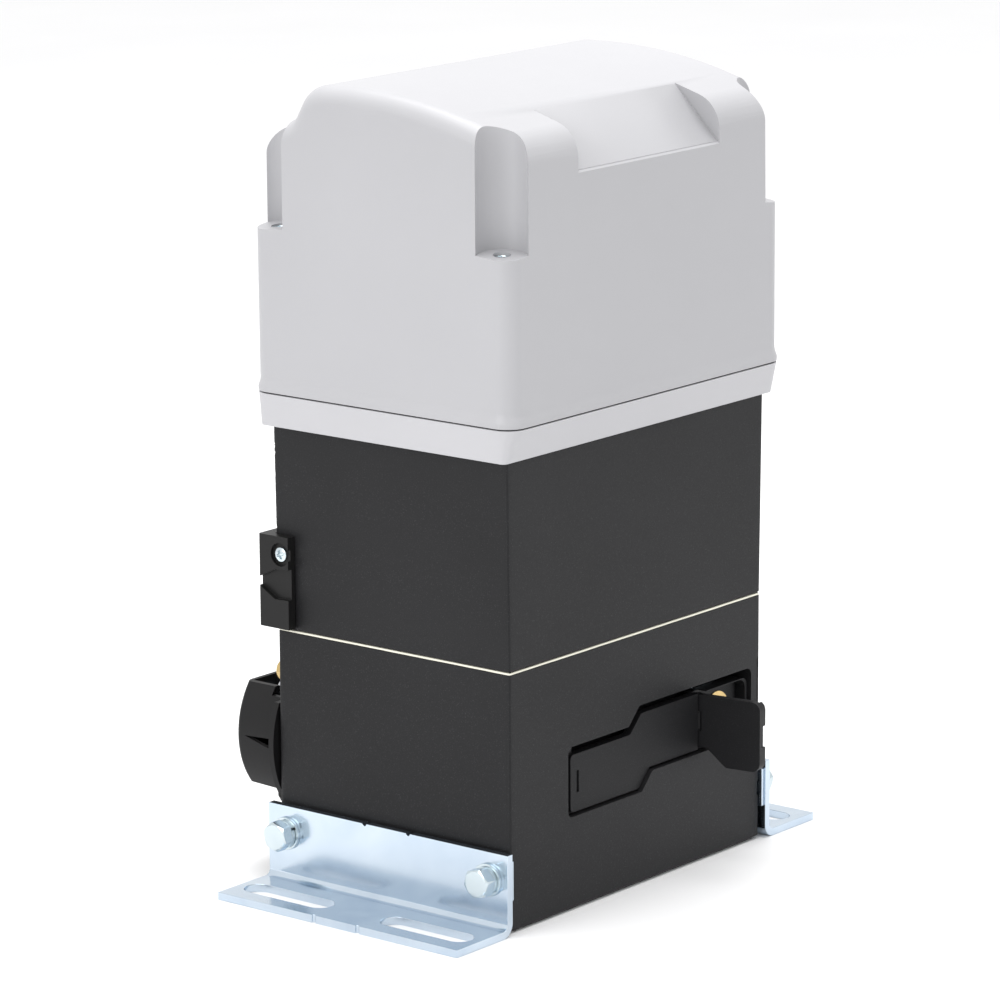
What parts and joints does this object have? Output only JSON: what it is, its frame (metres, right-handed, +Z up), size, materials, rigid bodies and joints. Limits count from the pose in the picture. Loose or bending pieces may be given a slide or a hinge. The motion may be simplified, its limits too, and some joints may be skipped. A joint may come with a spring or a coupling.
{
  "type": "sliding gate motor",
  "caption": "Upright geared drive unit with a light hood over a black casing, a key-locked release lever, foot brackets and a rack pinion behind.",
  "frame": {"origin": "on the floor plane, midway between the slots of the two foot brackets", "axes": "+Z up, +Y from the lever side to the pinion side, +X to the right seen from the lever side"},
  "size_m": [0.37, 0.2671, 0.5095],
  "materials": {
    "casing": "black fine-texture powder coat",
    "gasket_cream": "matte",
    "gasket_black": "matte",
    "tray_grey": "satin light grey",
    "hood": "satin light grey",
    "zinc": "bright zinc plated",
    "bolt_zinc": "bright zinc plated",
    "black_screw": "black oxide",
    "lever": "black fine-texture powder coat",
    "pin_steel": "ground",
    "brass": "polished",
    "bronze": "machined",
    "steel": "machined",
    "gear_steel": "machined, light zinc",
    "bearing": "ground",
    "seal": "matte",
    "guard": "moulded",
    "lamination": "stacked sheet",
    "copper": "varnished wire",
    "cap_alloy": "cast",
    "sensor": "moulded",
    "board": "lacquered",
    "terminal": "moulded",
    "relay": "moulded",
    "coil_tape": "wrapped tape",
    "capacitor": "drawn can"
  },
  "bodies": {
    "base": {"lower_casing": "casing", "joint_gasket": "gasket_cream", "upper_casing": "casing", "support_tray": "tray_grey", "hood_gasket": "gasket_black", "hood": "hood", "hood_screws": "bolt_zinc", "casing_bolts": "black_screw", "tray_screws": "bolt_zinc", "lever_pin": "pin_steel", "keeper_plate": "zinc", "keeper_screws": "bolt_zinc", "left_bracket": "zinc", "right_bracket": "zinc", "bracket_pads": "zinc", "flat_washers": "bolt_zinc", "spring_washers": "bolt_zinc", "bracket_bolts": "bolt_zinc", "front_bearing": "bearing", "back_bearing": "bearing", "shaft_seal": "seal", "pinion_guard": "guard", "guard_screws": "black_screw", "stator": "lamination", "windings": "copper", "motor_cap": "cap_alloy", "cap_screws": "bolt_zinc", "toe_bearing": "bearing", "deck_bearing": "bearing", "top_bearing": "bearing", "limit_sensor": "sensor", "sensor_screw": "black_screw", "oil_plug": "brass", "control_board": "board", "board_screws": "bolt_zinc", "terminal_blocks": "terminal", "relays": "relay", "transformer_core": "lamination", "transformer_coil": "coil_tape", "capacitor": "capacitor"},
    "wheel": {"worm_wheel": "bronze"},
    "output": {"output_shaft": "steel", "pinion": "gear_steel", "pinion_key": "steel", "pinion_washer": "bolt_zinc", "pinion_bolt": "bolt_zinc", "clutch_springs": "steel"},
    "motor": {"worm_shaft": "steel", "rotor": "lamination"},
    "lever": {"release_lever": "lever", "flap_pin": "pin_steel"},
    "flap": {"lever_flap": "lever"},
    "lock": {"lock_cylinder": "brass"},
    "rod": {"release_rod": "pin_steel"},
    "clutch": {"clutch_disc": "steel", "clutch_pin": "pin_steel"}
  },
  "joints": [
    {"name": "wheel_spin", "type": "hinge", "parent": "base", "child": "wheel", "pos_m": [-0.0685, 0, 0.093], "axis": [0, 1, 0], "continuous": true},
    {"name": "output_spin", "type": "hinge", "parent": "base", "child": "output", "pos_m": [-0.0685, 0, 0.093], "axis": [0, 1, 0], "continuous": true},
    {"name": "motor_spin", "type": "hinge", "parent": "base", "child": "motor", "pos_m": [-0.006, 0, 0.2], "axis": [0, 0, 1], "continuous": true},
    {"name": "lever_swing", "type": "hinge", "parent": "base", "child": "lever", "pos_m": [-0.0615, -0.0835, 0.085], "axis": [0, 0, -1], "range_deg": [0, 100]},
    {"name": "flap_swing", "type": "hinge", "parent": "lever", "child": "flap", "pos_m": [0.07, -0.0872, 0.092], "axis": [0, 0, 1], "range_deg": [0, 82]},
    {"name": "lock_turn", "type": "hinge", "parent": "lever", "child": "lock", "pos_m": [0.0933, -0.08, 0.0928], "axis": [0, 1, 0], "range_deg": [0, 90]},
    {"name": "rod_slide", "type": "slide", "parent": "base", "child": "rod", "axis": [0, 1, 0], "range_m": [0, 0.003]},
    {"name": "clutch_slide", "type": "slide", "parent": "output", "child": "clutch", "axis": [0, 1, 0], "range_m": [0, 0.003]}
  ],
  "couplings": [
    {"joint": "output_spin", "follows": "wheel_spin", "ratio": 1},
    {"joint": "motor_spin", "follows": "wheel_spin", "ratio": 40},
    {"joint": "rod_slide", "follows": "lever_swing", "m_per_rad": 0.001718},
    {"joint": "clutch_slide", "follows": "lever_swing", "m_per_rad": 0.001718}
  ]
}
